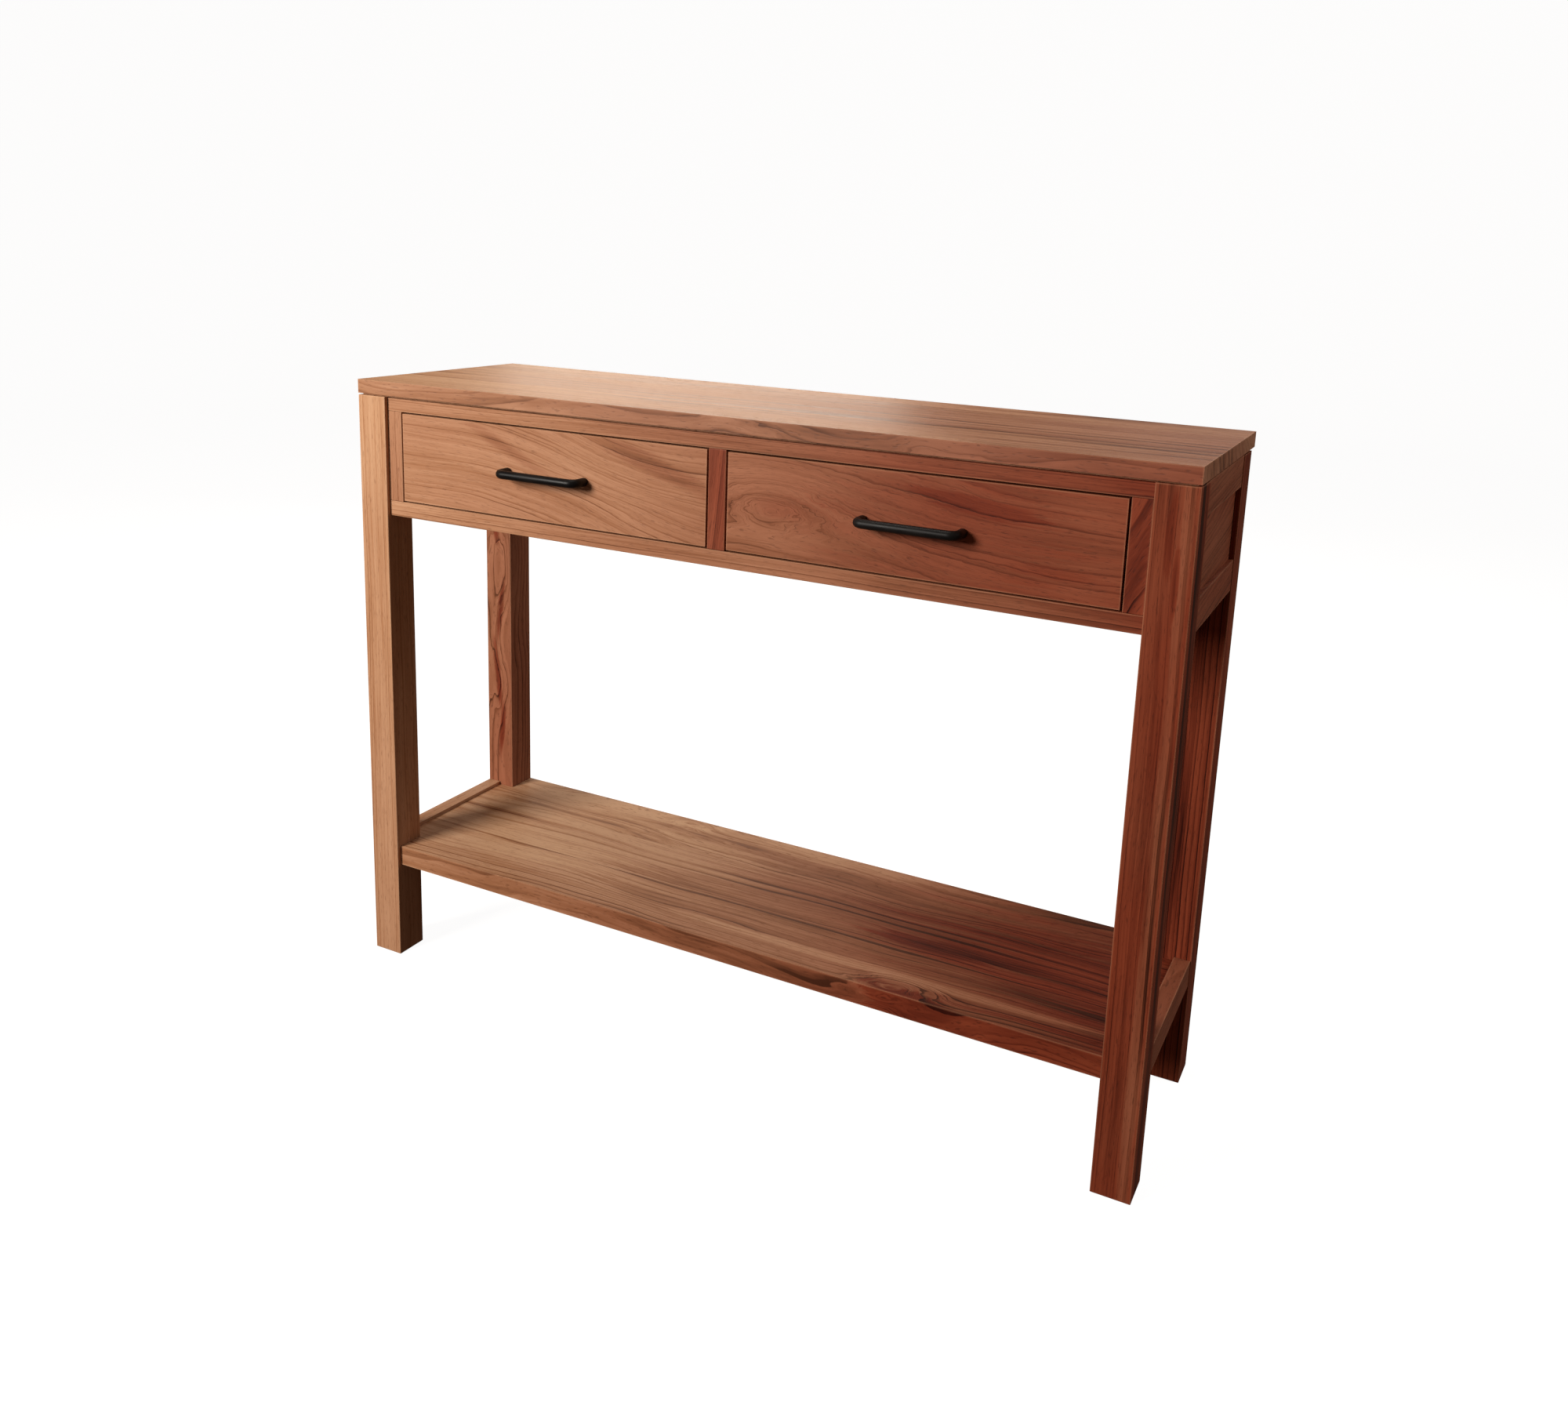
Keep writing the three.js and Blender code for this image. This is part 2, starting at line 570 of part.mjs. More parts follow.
function makeDrawer(side, s) {
  const name = (piece) => `drawer_${side}_${piece}`;
  const group = new THREE.Group();
  group.position.x = s * DRAWER_X;

  const screwY = DRAWER_BACK_AT + SIDE_THICK / 2;
  const screwHole = woodScrew(BOTTOM_SCREW, GAP).translate([0, screwY, BOTTOM_LOW]);
  const bottomScrew = node(name('bottom_screw'), slotted(woodScrew(BOTTOM_SCREW), BOTTOM_SCREW), ZINC);
  bottomScrew.position.set(0, screwY, BOTTOM_LOW);

  const handle = node(name('handle'), makeHandle(), BLACK_METAL);
  handle.position.set(0, APRON_FACE, HANDLE_Z);

  group.add(
    node(name('front'), makeDrawerFront(), s < 0 ? TEAK_LIGHT : TEAK),
    node(name('side_left'), makeDrawerSide(-1), SECONDARY),
    node(name('side_right'), makeDrawerSide(1), SECONDARY),
    node(name('back'), board(drawerBackBox(), [], [screwHole]), SECONDARY),
    node(name('bottom'), board(bottomBox(), [], [screwHole]), THIN_BOARD),
    bottomScrew,
    handle,
  );
  for (const [end, t] of Object.entries(SIDES)) {
    const screw = node(name(`handle_screw_${end}`), handleScrew(), ZINC);
    screw.rotation.x = Math.PI / 2; // the shank points to the front
    screw.position.set((t * HOLES) / 2, FRONT_BACK + GAP, HANDLE_Z);
    group.add(screw);
  }
  return group;
}

// ---------------------------------------------------------------- the table

const table = new THREE.Group();
table.position.y = -CENTRE_Y;
const carcass = [makeTop, makeLegs, makeFront, makeBack, makeEnds, makeShelf, makeLanes, makeStops];
table.add(...carcass.flatMap((make) => make()), ...makeTopScrews());
for (const [side, s] of Object.entries(SIDES)) {
  table.add(makeDrawer(side, s));
}

export default table;
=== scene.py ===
import math
from dataclasses import dataclass

import bmesh
import bpy
from mathutils import Matrix, Vector


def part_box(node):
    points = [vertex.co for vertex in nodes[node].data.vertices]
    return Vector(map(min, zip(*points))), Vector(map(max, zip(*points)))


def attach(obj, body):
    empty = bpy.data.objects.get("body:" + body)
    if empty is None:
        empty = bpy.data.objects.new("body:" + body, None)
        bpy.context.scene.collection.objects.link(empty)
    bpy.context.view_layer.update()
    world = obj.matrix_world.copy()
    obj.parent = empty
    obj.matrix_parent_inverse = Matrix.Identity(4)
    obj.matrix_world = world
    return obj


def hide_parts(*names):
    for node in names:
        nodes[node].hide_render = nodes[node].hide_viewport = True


# Console table in oiled teak. Metres, +Z up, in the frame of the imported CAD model.
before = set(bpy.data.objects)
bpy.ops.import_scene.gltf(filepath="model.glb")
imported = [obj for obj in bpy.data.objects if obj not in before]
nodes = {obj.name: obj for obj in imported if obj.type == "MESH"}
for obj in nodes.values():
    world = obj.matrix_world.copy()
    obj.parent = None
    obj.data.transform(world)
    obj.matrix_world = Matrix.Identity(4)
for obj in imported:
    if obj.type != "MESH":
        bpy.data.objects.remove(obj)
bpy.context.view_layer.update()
UP = Vector((0, 0, 1))

# Camera: at chest height, in front of the table's right end. Angles in radians.
CAMERA_PLACE = Vector((0.850, -1.622, 1.120))
CAMERA_YAW = 0.461
CAMERA_PITCH = -0.214
CAMERA_ROLL = -0.037
SENSOR = 36.0  # mm
LENS = 31.0  # mm
CAMERA_SHIFT = (-0.011, -0.115)

# Studio: a round pale room, an even fill and soft boxes.
ROOM_RADIUS = 7.0
ROOM_CURVE = 3.0  # radius of the curve between floor and wall
ROOM_HEIGHT = 6.0
ROOM_SIDES = 96
ROOM_CURVE_STEPS = 16
ROOM_COLOUR = (0.20, 0.196, 0.192, 1)
ROOM_GLOW = 0.95
ROOM_ROUGHNESS = 0.9
WHITE = (1, 1, 1, 1)
FILL = 0.09
FILL_COLOUR = (1.0, 0.70, 0.52, 1)
LAMPS = {  # place, target, size, power in W, colour
    "key": ((-1.55, -2.7, 1.80), (-0.10, 0, 0.55), (1.1, 1.1), 126, (1.0, 0.95, 0.88)),
    "overhead": ((-0.2, 0.1, 2.3), (-0.1, 0, 0.9), (0.8, 0.5), 11, (1.0, 0.95, 0.88)),
    "window": ((-1.9, 3.0, 1.3), (-0.2, 0, 0.7), (1.6, 1.0), 23, (1.0, 0.90, 0.78)),
    "back": ((0.6, 3.0, 2.8), (0, 0, 0.5), (2.0, 1.5), 12, (1.0, 0.98, 0.96)),
    "right": ((2.8, 0.6, 2.2), (0.4, 0, 0.4), (1.5, 1.5), 26, (1.0, 0.96, 0.92)),
}

# Edges of the boards.
EASED_EDGE = 0.0012  # radius of the sanded edges
EASED_STEPS = 3
WELD_REACH = 1e-5
FLAT_ANGLE = math.radians(1)  # CAD facets that meet at less than this become one face
SHARP_ANGLE = math.radians(40)  # edges sharper than this are eased

# Handles.
HANDLE_SIDES = 32
BEND_RATIO = 1.7  # radius of a bend over the radius of the bar
BEND_STEPS = 10
FOOT_STRAIGHT = 0.0012  # straight part of each foot at the drawer front
FOOT_CHAMFER = 0.0004

# Teak colours of the palest and the deepest board: between the growth lines, half way, on them.
PALE = ((0.600, 0.350, 0.205, 1), (0.445, 0.215, 0.106, 1), (0.210, 0.080, 0.036, 1))
DEEP = ((0.265, 0.054, 0.024, 1), (0.150, 0.026, 0.012, 1), (0.032, 0.006, 0.004, 1))

# Growth rings.
WAVE_REACH = 6.0  # how far the long waves shift the rings, in wavers of the figure
RIPPLE_REACH = 1.3  # the same for the short ripples
BOARD_SHIFT = 0.15  # how far the growth centre moves between the boards of a panel
SWIRL_WAVE = 0.15  # how far the long waves bend a swirl along the board
SWIRL_RIPPLE = 0.04  # how far the ripples bend it across
RING_NOISE = 0.45  # how fast the widths of the rings change, per ring
RING_SPREAD = 2.2  # how much they change
EARLY_WOOD = 0.45  # depth that grows through the ring
LATE_WOOD = 0.55  # depth of the line at its end
LINE_START = 0.62  # where in the ring the line starts
LINE_PEAK = 0.93  # where it is darkest
FAINTEST_RING = 0.15
FAINT_SHARE = 0.10  # share of the rings that are faintest

# Fine layers, which follow the rings.
FLOW_ACROSS = 0.15  # how much they change across the board along one ring
FLOW_IN = 0.3  # and in from its face

# How much each layer adds to the depth of the grain, 0 pale to 1 dark.
LINE_GAIN = 2.0
BROAD_GAIN = 0.35
FIBRE_GAIN = 0.55
SHADE_STREAKED = 0.5  # part of a figure that follows the streaks
SHADE_EVEN = 0.28  # part that doesn't
SHADE_RAGGED = 1.8  # how much the streaks break a figure's outline
SHADE_FADE = (-0.4, 2.0)  # squared distances where a figure starts and ends fading

# How much each layer changes the tone of the board, 0 pale to 1 deep.
CLOUD_TONE = 0.40
BOARD_TONE = 0.22
SHADE_TONE = 0.45
EDGE_SHADE_START = 0.0012  # distance from the long edges where the painted shade on the edge faces starts
EDGE_SHADE_FULL = 0.0002  # and where it is full

# Pores, joint lines, and worn edges with a painted highlight.
MARK_SHARE = 0.45  # how much pores and joint lines darken
JOINT_HALF_WIDTH = 0.0005  # half the line where two boards of a panel meet
WEAR_AND_HIGHLIGHT_WIDTH = 0.0022  # how far the pale band beside an edge reaches: polish rubbed off, and a painted highlight
WEAR_AND_HIGHLIGHT_SHARE = (0.60, 0.25)  # how pale an edge is made, on pale and on dark streaks
WORN_AND_LIT_PALE = 0.40  # how far the pale edges go towards the palest teak

# Surface of the teak: how much each layer adds to its roughness and its bumps.
ROUGH_DEPTH = -0.10
ROUGH_FIBRE = 0.10
ROUGH_PORE = 0.12
BUMP_DEPTH = -0.5
BUMP_FIBRE = 0.4
BUMP_MARK = -0.6
TEAK_BUMP = (0.35, 0.0004)  # strength, and distance in metres

# Wood that hardly shows: light and dark colour, roughness and bump.
DRAWER_WOOD = ((0.46, 0.30, 0.165, 1), (0.30, 0.17, 0.085, 1))
RUNNER_WOOD = ((0.33, 0.18, 0.09, 1), (0.20, 0.10, 0.05, 1))
PLAIN_FIBRE_SHARE = 0.3  # how much the fibres darken
PLAIN_ROUGHNESS = 0.5
PLAIN_ROUGH_FIBRE = 0.15
PLAIN_BUMP = (0.4, 0.0003)

# Metals.
DUST_SPAN = (0.40, 0.75)  # smears in this range go from black to dusty
METAL_SPAN = (0.3, 0.7)  # the noise that takes the roughness from one end to the other
COAT_COLOURS = ((0.0040, 0.0036, 0.0038, 1), (0.0100, 0.0082, 0.0078, 1))
COAT_ROUGHNESS = (0.36, 0.50)
COAT_SHINE = 0.16
COAT_BUMP = (0.25, 0.0002)
ZINC_COLOURS = ((0.50, 0.50, 0.47, 1), (0.68, 0.69, 0.68, 1))
ZINC_ROUGHNESS = (0.28, 0.45)
ZINC_BUMP = (0.2, 0.0001)


@dataclass
class Noise:
    """One layer of noise."""

    scales: tuple  # waves per metre along each axis
    detail: float
    rough: float
    seed: float
    span: tuple = ()  # the values stretched to 0 and 1, or to the two ends that follow them


# Layers of the teak.
WAVE = Noise((1.6, 6.0, 6.0), 2.0, 0.5, 3.0)
RIPPLE = Noise((4.5, 30.0, 30.0), 2.0, 0.55, 9.0)
KNOT = Noise((45.0, 95.0, 95.0), 2.0, 0.5, 13.0)
CLOUD = Noise((2.5, 9.0, 9.0), 2.0, 0.5, 21.0)
PATCH = Noise((3.0, 14.0, 14.0), 1.0, 0.5, 5.0, (0.3, 0.6, 0.45, 1.0))
BROAD = Noise((1.8, 28.0, 28.0), 3.0, 0.6, 0.0, (0.32, 0.70))
STREAK = Noise((3.0, 110.0, 110.0), 4.0, 0.65, 4.0, (0.38, 0.66))
FIBRE = Noise((11.0, 420.0, 420.0), 2.0, 0.6, 1.0)
PORE = Noise((75.0, 950.0, 950.0), 1.0, 0.5, 2.0, (0.60, 0.72))

# Layers of the wood that hardly shows.
PLAIN_STREAK = Noise((3.0, 90.0, 90.0), 4.0, 0.6, 4.0, (0.34, 0.70))
PLAIN_FIBRE = Noise((14.0, 500.0, 500.0), 2.0, 0.6, 7.0)
PLAIN_CLOUD = Noise((4.0, 9.0, 9.0), 2.0, 0.5, 2.0)

# Layers of the metals.
PEEL = Noise((900.0, 900.0, 900.0), 2.0, 0.6, 1.0)
SMEAR = Noise((35.0, 60.0, 60.0), 3.0, 0.6, 5.0)
BLOTCH = Noise((300.0, 300.0, 300.0), 3.0, 0.6, 2.0)
GRIT = Noise((2500.0, 2500.0, 2500.0), 1.0, 0.5, 6.0)


@dataclass
class Figure:
    """The grain of one board, in metres and in the board's own directions along, across and in."""

    along: str = "x"  # axis that the grain runs along
    face: str = "y"  # axis that the shown face looks along
    tone: tuple = (0.3, 0.3)  # 0 pale to 1 deep, at the two ends; partly the wood's own colour and partly painted light and shade that follows the fall of the key light
    pith: tuple = (0.25, 0.05)  # the growth centre, across and in from the board's centre
    lean: tuple = (0.0, 0.0)  # its slope along the board, across and in
    ring: float = 0.006  # mean width of a growth ring
    waver: float = 0.004  # how far the rings wander
    line: float = 0.5  # strength of the growth lines
    streak: float = 0.45  # strength of the long streaks
    eyes: tuple = ()  # swirls: (along, across, half length, half height, swell)
    ragged: float = 0.035  # how far a swirl's outline wanders
    calm: tuple = ()  # places where the growth lines fade: as eyes, with the fading last
    shades: tuple = ()  # figures: (along, across, half length, half height, slope, darkening)
    boards: float = 0.0  # width of the boards of a glued panel, 0 for a single board
    painted_edge_shade: float = 0.0  # painted shade: how much deeper the tone of the long edge faces is, as they catch less light than the shown face
    seed: float = 0.0
    rough: float = 0.46
    shine: float = 0.10  # strength of the polish's reflection


# The grain of each teak piece. Pieces towards the table's right end are set deeper than those at
# its left: partly their own colour, partly painted shade where the key light falls off.
FIGURES = {
    "top_panel": Figure(
        face="z", tone=(0.00, 0.62), pith=(0.20, 0.20), ring=0.006, waver=0.006, line=0.40,
        streak=0.70, boards=0.118, painted_edge_shade=0.38, seed=0.031, rough=0.44, shine=0.24,
        eyes=((0.02, -0.150, 0.070, 0.020, 0.040), (0.30, -0.163, 0.05, 0.012, 0.02)),
        shades=((0.02, -0.165, 0.045, 0.005, 0.02, 0.3), (0.33, -0.05, 0.35, 0.014, 0.0, 0.4)),
    ),
    "shelf_panel": Figure(
        face="z", tone=(0.07, 1.00), pith=(0.20, 0.20), ring=0.0055, waver=0.008, line=0.50,
        streak=0.75, boards=0.108, painted_edge_shade=0.25, seed=0.053, shine=0.04,
        eyes=((0.27, -0.145, 0.045, 0.022, 0.035), (-0.22, 0.14, 0.03, 0.012, 0.012)),
        shades=(
            (0.33, -0.02, 0.11, 0.015, 0.05, 0.8), (0.30, -0.156, 0.06, 0.012, -0.1, 0.8),
            (0.28, -0.118, 0.30, 0.010, 0.0, -0.6), (-0.15, 0.145, 0.35, 0.018, 0.0, -0.6),
            # The last two are broad: a darker right end and a paler left end, partly the board's
            # own colour and partly painted shade and painted light.
            (0.52, 0.02, 0.28, 0.16, 0.0, 0.45), (-0.36, 0.04, 0.26, 0.12, 0.0, -0.55),
        ),
    ),
    "leg_front_left": Figure(
        along="z", tone=(0.28, 0.00), pith=(0.2, 0.1), ring=0.006, line=0.35, seed=2.0,
    ),
    "leg_front_right": Figure(
        along="z", tone=(1.0, 0.95), pith=(0.25, 0.06), ring=0.004, waver=0.003, line=0.45,
        streak=0.75, seed=5.0, shine=0.05,
        shades=(
            (-0.1, 0.014, 0.70, 0.006, 0.0, -0.25), (0.385, -0.004, 0.05, 0.004, 0.01, 0.6),
            (0.33, 0.006, 0.03, 0.003, 0.0, 0.6),
        ),
    ),
    "leg_back_left": Figure(
        along="z", tone=(0.74, 0.66), pith=(0.05, 0.06), ring=0.008, waver=0.008, line=0.60,
        seed=9.0,
        eyes=(
            (0.35, 0.0, 0.06, 0.02, 0.02), (0.12, 0.005, 0.07, 0.02, 0.022),
            (-0.08, 0.0, 0.05, 0.02, 0.015),
        ),
        shades=(
            (0.30, 0.004, 0.05, 0.006, 0.12, 0.8), (0.20, -0.006, 0.04, 0.005, -0.15, 0.7),
            (0.06, 0.004, 0.05, 0.005, 0.14, 0.75), (-0.06, -0.004, 0.05, 0.005, -0.12, 0.65),
            (-0.16, 0.005, 0.04, 0.005, 0.10, 0.6),
        ),
    ),
    "leg_back_right": Figure(
        along="z", tone=(1.0, 1.0), pith=(-0.2, 0.1), ring=0.005, line=0.7, streak=0.8,
        seed=12.0, shine=0.05,
    ),
    "front_top_rail": Figure(tone=(0.25, 1.0), ring=0.005, streak=0.6, seed=14.0),
    "front_bottom_rail": Figure(
        tone=(0.15, 1.0), pith=(-0.25, 0.02), ring=0.005, streak=0.6, seed=17.0,
    ),
    "front_stile_left": Figure(
        along="z", tone=(0.45, 0.35), pith=(0.1, 0.02), ring=0.004, seed=19.0,
    ),
    "front_stile_right": Figure(
        along="z", tone=(1.0, 1.0), pith=(0.05, 0.04), lean=(0.25, 0.25), ring=0.018, waver=0.008,
        line=0.5, seed=23.0,
        shades=((0.0, 0.0, 0.08, 0.012, 0.15, 0.7),),
    ),
    "front_divider": Figure(
        along="z", tone=(0.86, 0.92), pith=(0.12, 0.03), ring=0.005, lean=(0.1, 0.0), seed=27.0,
    ),
    "drawer_left_front": Figure(
        tone=(0.30, 0.55), pith=(0.32, 0.10), ring=0.009, waver=0.006, line=0.60, streak=0.45,
        seed=31.0, eyes=((0.25, 0.0, 0.22, 0.50, -0.085),), ragged=0.006,
        calm=((-0.17, 0.0, 0.12, 0.10, 0.60),),
        shades=((-0.07, 0.034, 0.06, 0.009, -0.41, 0.38), (0.17, 0.035, 0.10, 0.012, -0.33, 0.36)),
    ),
    "drawer_right_front": Figure(
        tone=(0.68, 0.96), pith=(0.30, 0.08), ring=0.012, waver=0.006, line=0.50, streak=0.40,
        seed=37.0,
        eyes=((-0.20, 0.02, 0.24, 0.24, 0.055), (-0.173, 0.002, 0.060, 0.030, 0.060)),
        calm=(
            (-0.10, -0.045, 0.09, 0.03, 0.6), (0.12, 0.0, 0.15, 0.025, 0.5),
            (-0.173, 0.002, 0.05, 0.03, 0.30),
        ),
        shades=(
            (0.08, 0.034, 0.07, 0.009, -0.12, 0.35), (-0.165, 0.002, 0.038, 0.015, 0.0, 0.14),
            (0.04, -0.01, 0.14, 0.08, 0.0, 0.22),
        ),
    ),
    "back_apron": Figure(
        tone=(0.35, 0.70), pith=(0.05, 0.06), lean=(0.0, 0.12), ring=0.008, seed=41.0,
    ),
    "shelf_rail_left": Figure(along="y", face="x", tone=(0.20, 0.15), seed=43.0),
    "shelf_rail_right": Figure(along="y", face="x", tone=(0.85, 0.85), seed=45.0),
}
# End pieces: the right end's are set deeper, partly their own colour and partly painted shade, as
# that end is turned away from the key light.
for side, tone in (("left", 0.30), ("right", 0.88)):
    for row, piece in enumerate(("end_top_rail", "end_bottom_rail", "end_panel")):
        FIGURES[f"{piece}_{side}"] = Figure(
            along="y", face="x", tone=(tone, tone), pith=(0.06, 0.04), lean=(0.05, 0.1),
            seed=50.0 + row + tone,
        )


class Graph:
    """Adds nodes to one node tree and hands back their output sockets."""

    def __init__(self, tree):
        self.tree = tree

    def add(self, kind, values=None, output=0, **settings):
        made = self.tree.nodes.new("ShaderNode" + kind)
        for name, value in settings.items():
            setattr(made, name, value)
        for key, value in (values or {}).items():
            self.join(value, made.inputs[key])
        return made.outputs[output]

    def join(self, value, socket):
        """Links a socket's value, or sets a plain one."""
        if isinstance(value, bpy.types.NodeSocket):
            self.tree.links.new(value, socket)
        else:
            socket.default_value = value

    def math(self, operation, *values, clamp=False):
        return self.add("Math", dict(enumerate(values)), operation=operation, use_clamp=clamp)

    def centred(self, value):
        """Moves the range 0 to 1 to -0.5 to 0.5."""
        return self.math("SUBTRACT", value, 0.5)

    def vector(self, operation, *values):
        return self.add("VectorMath", dict(enumerate(values)), operation=operation)

    def split(self, vector):
        made = self.tree.nodes.new("ShaderNodeSeparateXYZ")
        self.join(vector, made.inputs[0])
        return made.outputs

    def combine(self, x, y, z):
        return self.add("CombineXYZ", {0: x, 1: y, 2: z})

    def layer(self, place, noise, seed=0.0):
        """A layer of noise, stretched if it has a span."""
        seed += noise.seed
        stretched = self.vector("MULTIPLY", place, noise.scales)
        moved = self.vector("ADD", stretched, (seed, seed * 0.7, -seed))
        values = {"Vector": moved, "Scale": 1.0, "Detail": noise.detail, "Roughness": noise.rough}
        value = self.add("TexNoise", values)
        return self.fit(value, *noise.span) if noise.span else value

    def fit(self, value, low, high, start=0.0, end=1.0, smooth=False):
        """Maps low to start and high to end, and stops there."""
        kind = "SMOOTHSTEP" if smooth else "LINEAR"
        values = {"Value": value, 1: low, 2: high, 3: start, 4: end}
        return self.add("MapRange", values, interpolation_type=kind)

    def mix(self, share, a, b):
        return self.add("Mix", {0: share, 6: a, 7: b}, 2, data_type="RGBA")

    def random(self, value):
        return self.add("TexWhiteNoise", {"W": value}, noise_dimensions="1D")

    def bump(self, height, strength, distance):
        return self.add("Bump", {"Height": height, "Strength": strength, "Distance": distance})


def new_material(name):
    """A material and the inputs of its shader."""
    material = bpy.data.materials.new(name)
    material.use_nodes = True
    return material, material.node_tree.nodes["Principled BSDF"].inputs


def new_graph(material):
    """The material's graph, and places in the table's frame."""
    g = Graph(material.node_tree)
    return g, g.add("TexCoord", output="Object")


def new_object(name, data):
    made = bpy.data.objects.new(name, data)
    bpy.context.scene.collection.objects.link(made)
    return made


def across_axis(figure):
    return next(letter for letter in "xyz" if letter not in (figure.along, figure.face))


def grain_place(g, where, centre, figure):
    """Places from the board's centre: u along the grain, v across the shown face, w in from it."""
    parts = dict(zip("xyz", g.split(g.vector("SUBTRACT", where, centre))))
    return g.combine(parts[figure.along], parts[across_axis(figure)], parts[figure.face])


def edge_wear_and_highlight(g, where, centre, half):
    """1 on the board's edges, fading to 0 a little way into its faces: where the polish is rubbed
    off and a highlight is painted.
    """
    offset = g.vector("ABSOLUTE", g.vector("SUBTRACT", where, centre))
    x, y, z = g.split(g.vector("SUBTRACT", half, offset))
    outer = g.math("MINIMUM", x, y)
    inner = g.math("MINIMUM", g.math("MAXIMUM", x, y), z)
    return g.fit(g.math("MAXIMUM", outer, inner), 0.0, WEAR_AND_HIGHLIGHT_WIDTH, 1.0, 0.0, smooth=True)


def oval(g, a, b, half_length, half_height):
    """The squared distance from the middle of an oval, 1 on its outline."""
    a = g.math("DIVIDE", a, half_length)
    b = g.math("DIVIDE", b, half_height)
    return g.math("ADD", g.math("MULTIPLY", a, a), g.math("MULTIPLY", b, b))


def hills(g, u, v, places):
    """A sum of smooth hills: (along, across, half length, half height, rise) each."""
    total = 0.0
    for along, across, half_length, half_height, rise in places:
        a = g.math("SUBTRACT", u, along)
        b = g.math("SUBTRACT", v, across)
        square = oval(g, a, b, half_length, half_height)
        hill = g.math("MULTIPLY", g.math("EXPONENT", g.math("MULTIPLY", square, -1.0)), rise)
        total = g.math("ADD", total, hill)
    return total


def shade_sum(g, place, figure, streak):
    """The sum of the board's dark and light figures, with outlines broken by the streaks."""
    u, v, _ = g.split(place)
    ragged = g.centred(streak)
    total = 0.0
    for along, across, half_length, half_height, slope, change in figure.shades:
        a = g.math("SUBTRACT", u, along)
        b = g.math("MULTIPLY_ADD", a, -slope, g.math("SUBTRACT", v, across))
        square = oval(g, a, b, half_length, half_height)
        edge = g.math("MULTIPLY_ADD", ragged, SHADE_RAGGED, square)
        total = g.math("ADD", total, g.fit(edge, *SHADE_FADE, change, 0.0, smooth=True))
    return total


def pith_distance(g, place, figure, board, bend):
    """The distance from the growth centre, bent by the long waves."""
    u, v, w = g.split(place)
    off = []
    for part, pith, lean in zip((v, w), figure.pith, figure.lean):
        middle = g.math("MULTIPLY_ADD", u, lean, pith)
        off.append(g.math("ADD", g.math("SUBTRACT", part, middle), bend))
    if figure.boards:
        off[0] = g.math("MULTIPLY_ADD", board, -BOARD_SHIFT, off[0])
    squares = [g.math("MULTIPLY", part, part) for part in off]
    return g.math("SQRT", g.math("ADD", *squares))


def growth_radius(g, place, figure, board):
    """The radius that the growth rings are counted along, in metres, swollen at the swirls."""
    wave = g.centred(g.layer(place, WAVE, figure.seed))
    ripple = g.centred(g.layer(place, RIPPLE, figure.seed))
    bend = g.math("MULTIPLY", wave, WAVE_REACH * figure.waver)
    shake = g.math("MULTIPLY", ripple, RIPPLE_REACH * figure.waver)
    radius = g.math("ADD", pith_distance(g, place, figure, board, bend), shake)
    if not figure.eyes:
        return radius
    knot = g.centred(g.layer(place, KNOT, figure.seed))
    u, v, _ = g.split(place)
    u = g.math("MULTIPLY_ADD", wave, SWIRL_WAVE, u)
    u = g.math("MULTIPLY_ADD", knot, figure.ragged, u)
    v = g.math("MULTIPLY_ADD", ripple, SWIRL_RIPPLE, v)
    return g.math("ADD", radius, hills(g, u, v, figure.eyes))


def growth_line(g, radius, ring):
    """0 in the pale early wood, with a line that ends each ring, darker in some than in others."""
    count = g.math("DIVIDE", radius, ring)
    values = {"W": count, "Scale": RING_NOISE, "Detail": 1.0}
    uneven = g.add("TexNoise", values, noise_dimensions="1D")
    count = g.math("MULTIPLY_ADD", uneven, RING_SPREAD, count)
    part = g.math("FRACT", count)
    shade = g.math("MULTIPLY", g.math("MULTIPLY", part, part), EARLY_WOOD)
    thin = g.math("MULTIPLY", g.fit(part, LINE_START, LINE_PEAK, smooth=True), LATE_WOOD)
    fall = g.fit(part, LINE_PEAK, 1.0, 1.0, 0.0, smooth=True)
    number = g.random(g.math("FLOOR", count))
    strong = g.fit(number, FAINT_SHARE, 1.0, FAINTEST_RING, 1.0)
    return g.math("MULTIPLY", g.math("MULTIPLY", g.math("ADD", shade, thin), fall), strong)


def board_number(g, place, figure):
    """A random number for each board of a glued panel, and a thin line where two boards meet."""
    across = g.math("DIVIDE", g.math("ADD", g.split(place)[1], figure.seed), figure.boards)
    number = g.random(g.math("FLOOR", across))
    middle = g.math("ABSOLUTE", g.centred(g.math("FRACT", across)))
    return number, g.fit(middle, 0.5 - JOINT_HALF_WIDTH / figure.boards, 0.5)


